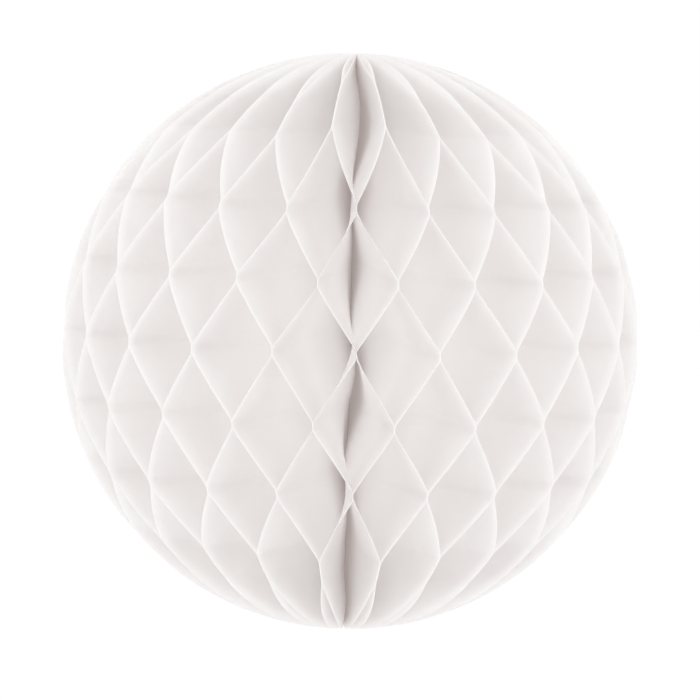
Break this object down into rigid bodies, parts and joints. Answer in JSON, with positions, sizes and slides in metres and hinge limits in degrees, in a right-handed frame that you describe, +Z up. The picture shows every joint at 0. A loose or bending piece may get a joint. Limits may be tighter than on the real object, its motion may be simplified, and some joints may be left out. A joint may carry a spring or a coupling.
{
  "type": "paper honeycomb ball",
  "caption": "Round tissue paper honeycomb ball that hangs by its top knot and folds flat between two half-round cards.",
  "frame": {"origin": "centre of the ball", "axes": "+Z up along the spine to the knot that it hangs by, +Y towards the seam where the two cover cards are joined, -Y towards the plain front"},
  "size_m": [0.2022, 0.2032, 0.203],
  "materials": {
    "tissue": "matt white tissue that lets light through",
    "cover_card": "matt white card",
    "adhesive": "soft white foam pad",
    "thread": "white twisted cotton"
  },
  "bodies": {
    "first_cover": {"first_cover_card": "cover_card", "tissue_sheet_01": "tissue", "adhesive_pads": "adhesive", "spine_thread": "thread", "top_knot": "thread", "bottom_knot": "thread"},
    "last_cover": {"last_cover_card": "cover_card", "tissue_sheet_46": "tissue"},
    "sheet_02": {"tissue_sheet_02": "tissue"},
    "sheet_03": {"tissue_sheet_03": "tissue"},
    "sheet_04": {"tissue_sheet_04": "tissue"},
    "sheet_05": {"tissue_sheet_05": "tissue"},
    "sheet_06": {"tissue_sheet_06": "tissue"},
    "sheet_07": {"tissue_sheet_07": "tissue"},
    "sheet_08": {"tissue_sheet_08": "tissue"},
    "sheet_09": {"tissue_sheet_09": "tissue"},
    "sheet_10": {"tissue_sheet_10": "tissue"},
    "sheet_11": {"tissue_sheet_11": "tissue"},
    "sheet_12": {"tissue_sheet_12": "tissue"},
    "sheet_13": {"tissue_sheet_13": "tissue"},
    "sheet_14": {"tissue_sheet_14": "tissue"},
    "sheet_15": {"tissue_sheet_15": "tissue"},
    "sheet_16": {"tissue_sheet_16": "tissue"},
    "sheet_17": {"tissue_sheet_17": "tissue"},
    "sheet_18": {"tissue_sheet_18": "tissue"},
    "sheet_19": {"tissue_sheet_19": "tissue"},
    "sheet_20": {"tissue_sheet_20": "tissue"},
    "sheet_21": {"tissue_sheet_21": "tissue"},
    "sheet_22": {"tissue_sheet_22": "tissue"},
    "sheet_23": {"tissue_sheet_23": "tissue"},
    "sheet_24": {"tissue_sheet_24": "tissue"},
    "sheet_25": {"tissue_sheet_25": "tissue"},
    "sheet_26": {"tissue_sheet_26": "tissue"},
    "sheet_27": {"tissue_sheet_27": "tissue"},
    "sheet_28": {"tissue_sheet_28": "tissue"},
    "sheet_29": {"tissue_sheet_29": "tissue"},
    "sheet_30": {"tissue_sheet_30": "tissue"},
    "sheet_31": {"tissue_sheet_31": "tissue"},
    "sheet_32": {"tissue_sheet_32": "tissue"},
    "sheet_33": {"tissue_sheet_33": "tissue"},
    "sheet_34": {"tissue_sheet_34": "tissue"},
    "sheet_35": {"tissue_sheet_35": "tissue"},
    "sheet_36": {"tissue_sheet_36": "tissue"},
    "sheet_37": {"tissue_sheet_37": "tissue"},
    "sheet_38": {"tissue_sheet_38": "tissue"},
    "sheet_39": {"tissue_sheet_39": "tissue"},
    "sheet_40": {"tissue_sheet_40": "tissue"},
    "sheet_41": {"tissue_sheet_41": "tissue"},
    "sheet_42": {"tissue_sheet_42": "tissue"},
    "sheet_43": {"tissue_sheet_43": "tissue"},
    "sheet_44": {"tissue_sheet_44": "tissue"},
    "sheet_45": {"tissue_sheet_45": "tissue"}
  },
  "joints": [
    {"name": "fold", "type": "hinge", "parent": "first_cover", "child": "last_cover", "pos_m": [0, 0, 0], "axis": [0, 0, -1], "range_deg": [0, 346]},
    {"name": "sheet_02_turn", "type": "hinge", "parent": "first_cover", "child": "sheet_02", "pos_m": [0, 0, 0], "axis": [0, 0, -1], "range_deg": [0, 4.4], "deforming": ["tissue_sheet_02"]},
    {"name": "sheet_03_turn", "type": "hinge", "parent": "first_cover", "child": "sheet_03", "pos_m": [0, 0, 0], "axis": [0, 0, -1], "range_deg": [0, 12.3], "deforming": ["tissue_sheet_03"]},
    {"name": "sheet_04_turn", "type": "hinge", "parent": "first_cover", "child": "sheet_04", "pos_m": [0, 0, 0], "axis": [0, 0, -1], "range_deg": [0, 20.2], "deforming": ["tissue_sheet_04"]},
    {"name": "sheet_05_turn", "type": "hinge", "parent": "first_cover", "child": "sheet_05", "pos_m": [0, 0, 0], "axis": [0, 0, -1], "range_deg": [0, 28], "deforming": ["tissue_sheet_05"]},
    {"name": "sheet_06_turn", "type": "hinge", "parent": "first_cover", "child": "sheet_06", "pos_m": [0, 0, 0], "axis": [0, 0, -1], "range_deg": [0, 35.9], "deforming": ["tissue_sheet_06"]},
    {"name": "sheet_07_turn", "type": "hinge", "parent": "first_cover", "child": "sheet_07", "pos_m": [0, 0, 0], "axis": [0, 0, -1], "range_deg": [0, 43.8], "deforming": ["tissue_sheet_07"]},
    {"name": "sheet_08_turn", "type": "hinge", "parent": "first_cover", "child": "sheet_08", "pos_m": [0, 0, 0], "axis": [0, 0, -1], "range_deg": [0, 51.6], "deforming": ["tissue_sheet_08"]},
    {"name": "sheet_09_turn", "type": "hinge", "parent": "first_cover", "child": "sheet_09", "pos_m": [0, 0, 0], "axis": [0, 0, -1], "range_deg": [0, 59.5], "deforming": ["tissue_sheet_09"]},
    {"name": "sheet_10_turn", "type": "hinge", "parent": "first_cover", "child": "sheet_10", "pos_m": [0, 0, 0], "axis": [0, 0, -1], "range_deg": [0, 67.3], "deforming": ["tissue_sheet_10"]},
    {"name": "sheet_11_turn", "type": "hinge", "parent": "first_cover", "child": "sheet_11", "pos_m": [0, 0, 0], "axis": [0, 0, -1], "range_deg": [0, 75.2], "deforming": ["tissue_sheet_11"]},
    {"name": "sheet_12_turn", "type": "hinge", "parent": "first_cover", "child": "sheet_12", "pos_m": [0, 0, 0], "axis": [0, 0, -1], "range_deg": [0, 83.1], "deforming": ["tissue_sheet_12"]},
    {"name": "sheet_13_turn", "type": "hinge", "parent": "first_cover", "child": "sheet_13", "pos_m": [0, 0, 0], "axis": [0, 0, -1], "range_deg": [0, 90.9], "deforming": ["tissue_sheet_13"]},
    {"name": "sheet_14_turn", "type": "hinge", "parent": "first_cover", "child": "sheet_14", "pos_m": [0, 0, 0], "axis": [0, 0, -1], "range_deg": [0, 98.8], "deforming": ["tissue_sheet_14"]},
    {"name": "sheet_15_turn", "type": "hinge", "parent": "first_cover", "child": "sheet_15", "pos_m": [0, 0, 0], "axis": [0, 0, -1], "range_deg": [0, 106.7], "deforming": ["tissue_sheet_15"]},
    {"name": "sheet_16_turn", "type": "hinge", "parent": "first_cover", "child": "sheet_16", "pos_m": [0, 0, 0], "axis": [0, 0, -1], "range_deg": [0, 114.5], "deforming": ["tissue_sheet_16"]},
    {"name": "sheet_17_turn", "type": "hinge", "parent": "first_cover", "child": "sheet_17", "pos_m": [0, 0, 0], "axis": [0, 0, -1], "range_deg": [0, 122.4], "deforming": ["tissue_sheet_17"]},
    {"name": "sheet_18_turn", "type": "hinge", "parent": "first_cover", "child": "sheet_18", "pos_m": [0, 0, 0], "axis": [0, 0, -1], "range_deg": [0, 130.2], "deforming": ["tissue_sheet_18"]},
    {"name": "sheet_19_turn", "type": "hinge", "parent": "first_cover", "child": "sheet_19", "pos_m": [0, 0, 0], "axis": [0, 0, -1], "range_deg": [0, 138.1], "deforming": ["tissue_sheet_19"]},
    {"name": "sheet_20_turn", "type": "hinge", "parent": "first_cover", "child": "sheet_20", "pos_m": [0, 0, 0], "axis": [0, 0, -1], "range_deg": [0, 146], "deforming": ["tissue_sheet_20"]},
    {"name": "sheet_21_turn", "type": "hinge", "parent": "first_cover", "child": "sheet_21", "pos_m": [0, 0, 0], "axis": [0, 0, -1], "range_deg": [0, 153.8], "deforming": ["tissue_sheet_21"]},
    {"name": "sheet_22_turn", "type": "hinge", "parent": "first_cover", "child": "sheet_22", "pos_m": [0, 0, 0], "axis": [0, 0, -1], "range_deg": [0, 161.7], "deforming": ["tissue_sheet_22"]},
    {"name": "sheet_23_turn", "type": "hinge", "parent": "first_cover", "child": "sheet_23", "pos_m": [0, 0, 0], "axis": [0, 0, -1], "range_deg": [0, 169.6], "deforming": ["tissue_sheet_23"]},
    {"name": "sheet_24_turn", "type": "hinge", "parent": "first_cover", "child": "sheet_24", "pos_m": [0, 0, 0], "axis": [0, 0, -1], "range_deg": [0, 177.4], "deforming": ["tissue_sheet_24"]},
    {"name": "sheet_25_turn", "type": "hinge", "parent": "first_cover", "child": "sheet_25", "pos_m": [0, 0, 0], "axis": [0, 0, -1], "range_deg": [0, 185.3], "deforming": ["tissue_sheet_25"]},
    {"name": "sheet_26_turn", "type": "hinge", "parent": "first_cover", "child": "sheet_26", "pos_m": [0, 0, 0], "axis": [0, 0, -1], "range_deg": [0, 193.2], "deforming": ["tissue_sheet_26"]},
    {"name": "sheet_27_turn", "type": "hinge", "parent": "first_cover", "child": "sheet_27", "pos_m": [0, 0, 0], "axis": [0, 0, -1], "range_deg": [0, 201], "deforming": ["tissue_sheet_27"]},
    {"name": "sheet_28_turn", "type": "hinge", "parent": "first_cover", "child": "sheet_28", "pos_m": [0, 0, 0], "axis": [0, 0, -1], "range_deg": [0, 208.9], "deforming": ["tissue_sheet_28"]},
    {"name": "sheet_29_turn", "type": "hinge", "parent": "first_cover", "child": "sheet_29", "pos_m": [0, 0, 0], "axis": [0, 0, -1], "range_deg": [0, 216.8], "deforming": ["tissue_sheet_29"]},
    {"name": "sheet_30_turn", "type": "hinge", "parent": "first_cover", "child": "sheet_30", "pos_m": [0, 0, 0], "axis": [0, 0, -1], "range_deg": [0, 224.6], "deforming": ["tissue_sheet_30"]},
    {"name": "sheet_31_turn", "type": "hinge", "parent": "first_cover", "child": "sheet_31", "pos_m": [0, 0, 0], "axis": [0, 0, -1], "range_deg": [0, 232.5], "deforming": ["tissue_sheet_31"]},
    {"name": "sheet_32_turn", "type": "hinge", "parent": "first_cover", "child": "sheet_32", "pos_m": [0, 0, 0], "axis": [0, 0, -1], "range_deg": [0, 240.3], "deforming": ["tissue_sheet_32"]},
    {"name": "sheet_33_turn", "type": "hinge", "parent": "first_cover", "child": "sheet_33", "pos_m": [0, 0, 0], "axis": [0, 0, -1], "range_deg": [0, 248.2], "deforming": ["tissue_sheet_33"]},
    {"name": "sheet_34_turn", "type": "hinge", "parent": "first_cover", "child": "sheet_34", "pos_m": [0, 0, 0], "axis": [0, 0, -1], "range_deg": [0, 256.1], "deforming": ["tissue_sheet_34"]},
    {"name": "sheet_35_turn", "type": "hinge", "parent": "first_cover", "child": "sheet_35", "pos_m": [0, 0, 0], "axis": [0, 0, -1], "range_deg": [0, 263.9], "deforming": ["tissue_sheet_35"]},
    {"name": "sheet_36_turn", "type": "hinge", "parent": "first_cover", "child": "sheet_36", "pos_m": [0, 0, 0], "axis": [0, 0, -1], "range_deg": [0, 271.8], "deforming": ["tissue_sheet_36"]},
    {"name": "sheet_37_turn", "type": "hinge", "parent": "first_cover", "child": "sheet_37", "pos_m": [0, 0, 0], "axis": [0, 0, -1], "range_deg": [0, 279.7], "deforming": ["tissue_sheet_37"]},
    {"name": "sheet_38_turn", "type": "hinge", "parent": "first_cover", "child": "sheet_38", "pos_m": [0, 0, 0], "axis": [0, 0, -1], "range_deg": [0, 287.5], "deforming": ["tissue_sheet_38"]},
    {"name": "sheet_39_turn", "type": "hinge", "parent": "first_cover", "child": "sheet_39", "pos_m": [0, 0, 0], "axis": [0, 0, -1], "range_deg": [0, 295.4], "deforming": ["tissue_sheet_39"]},
    {"name": "sheet_40_turn", "type": "hinge", "parent": "first_cover", "child": "sheet_40", "pos_m": [0, 0, 0], "axis": [0, 0, -1], "range_deg": [0, 303.2], "deforming": ["tissue_sheet_40"]},
    {"name": "sheet_41_turn", "type": "hinge", "parent": "first_cover", "child": "sheet_41", "pos_m": [0, 0, 0], "axis": [0, 0, -1], "range_deg": [0, 311.1], "deforming": ["tissue_sheet_41"]},
    {"name": "sheet_42_turn", "type": "hinge", "parent": "first_cover", "child": "sheet_42", "pos_m": [0, 0, 0], "axis": [0, 0, -1], "range_deg": [0, 319], "deforming": ["tissue_sheet_42"]},
    {"name": "sheet_43_turn", "type": "hinge", "parent": "first_cover", "child": "sheet_43", "pos_m": [0, 0, 0], "axis": [0, 0, -1], "range_deg": [0, 326.8], "deforming": ["tissue_sheet_43"]},
    {"name": "sheet_44_turn", "type": "hinge", "parent": "first_cover", "child": "sheet_44", "pos_m": [0, 0, 0], "axis": [0, 0, -1], "range_deg": [0, 334.7], "deforming": ["tissue_sheet_44"]},
    {"name": "sheet_45_turn", "type": "hinge", "parent": "first_cover", "child": "sheet_45", "pos_m": [0, 0, 0], "axis": [0, 0, -1], "range_deg": [0, 342.6], "deforming": ["tissue_sheet_45"]}
  ],
  "couplings": [
    {"joint": "sheet_02_turn", "follows": "fold", "ratio": 0.011364},
    {"joint": "sheet_03_turn", "follows": "fold", "ratio": 0.034091},
    {"joint": "sheet_04_turn", "follows": "fold", "ratio": 0.056818},
    {"joint": "sheet_05_turn", "follows": "fold", "ratio": 0.079545},
    {"joint": "sheet_06_turn", "follows": "fold", "ratio": 0.10227},
    {"joint": "sheet_07_turn", "follows": "fold", "ratio": 0.125},
    {"joint": "sheet_08_turn", "follows": "fold", "ratio": 0.14773},
    {"joint": "sheet_09_turn", "follows": "fold", "ratio": 0.17045},
    {"joint": "sheet_10_turn", "follows": "fold", "ratio": 0.19318},
    {"joint": "sheet_11_turn", "follows": "fold", "ratio": 0.21591},
    {"joint": "sheet_12_turn", "follows": "fold", "ratio": 0.23864},
    {"joint": "sheet_13_turn", "follows": "fold", "ratio": 0.26136},
    {"joint": "sheet_14_turn", "follows": "fold", "ratio": 0.28409},
    {"joint": "sheet_15_turn", "follows": "fold", "ratio": 0.30682},
    {"joint": "sheet_16_turn", "follows": "fold", "ratio": 0.32954},
    {"joint": "sheet_17_turn", "follows": "fold", "ratio": 0.35227},
    {"joint": "sheet_18_turn", "follows": "fold", "ratio": 0.375},
    {"joint": "sheet_19_turn", "follows": "fold", "ratio": 0.39773},
    {"joint": "sheet_20_turn", "follows": "fold", "ratio": 0.42046},
    {"joint": "sheet_21_turn", "follows": "fold", "ratio": 0.44318},
    {"joint": "sheet_22_turn", "follows": "fold", "ratio": 0.46591},
    {"joint": "sheet_23_turn", "follows": "fold", "ratio": 0.48864},
    {"joint": "sheet_24_turn", "follows": "fold", "ratio": 0.51136},
    {"joint": "sheet_25_turn", "follows": "fold", "ratio": 0.53409},
    {"joint": "sheet_26_turn", "follows": "fold", "ratio": 0.55682},
    {"joint": "sheet_27_turn", "follows": "fold", "ratio": 0.57954},
    {"joint": "sheet_28_turn", "follows": "fold", "ratio": 0.60227},
    {"joint": "sheet_29_turn", "follows": "fold", "ratio": 0.625},
    {"joint": "sheet_30_turn", "follows": "fold", "ratio": 0.64773},
    {"joint": "sheet_31_turn", "follows": "fold", "ratio": 0.67046},
    {"joint": "sheet_32_turn", "follows": "fold", "ratio": 0.69318},
    {"joint": "sheet_33_turn", "follows": "fold", "ratio": 0.71591},
    {"joint": "sheet_34_turn", "follows": "fold", "ratio": 0.73864},
    {"joint": "sheet_35_turn", "follows": "fold", "ratio": 0.76136},
    {"joint": "sheet_36_turn", "follows": "fold", "ratio": 0.78409},
    {"joint": "sheet_37_turn", "follows": "fold", "ratio": 0.80682},
    {"joint": "sheet_38_turn", "follows": "fold", "ratio": 0.82954},
    {"joint": "sheet_39_turn", "follows": "fold", "ratio": 0.85227},
    {"joint": "sheet_40_turn", "follows": "fold", "ratio": 0.875},
    {"joint": "sheet_41_turn", "follows": "fold", "ratio": 0.89773},
    {"joint": "sheet_42_turn", "follows": "fold", "ratio": 0.92046},
    {"joint": "sheet_43_turn", "follows": "fold", "ratio": 0.94318},
    {"joint": "sheet_44_turn", "follows": "fold", "ratio": 0.96591},
    {"joint": "sheet_45_turn", "follows": "fold", "ratio": 0.98864}
  ]
}
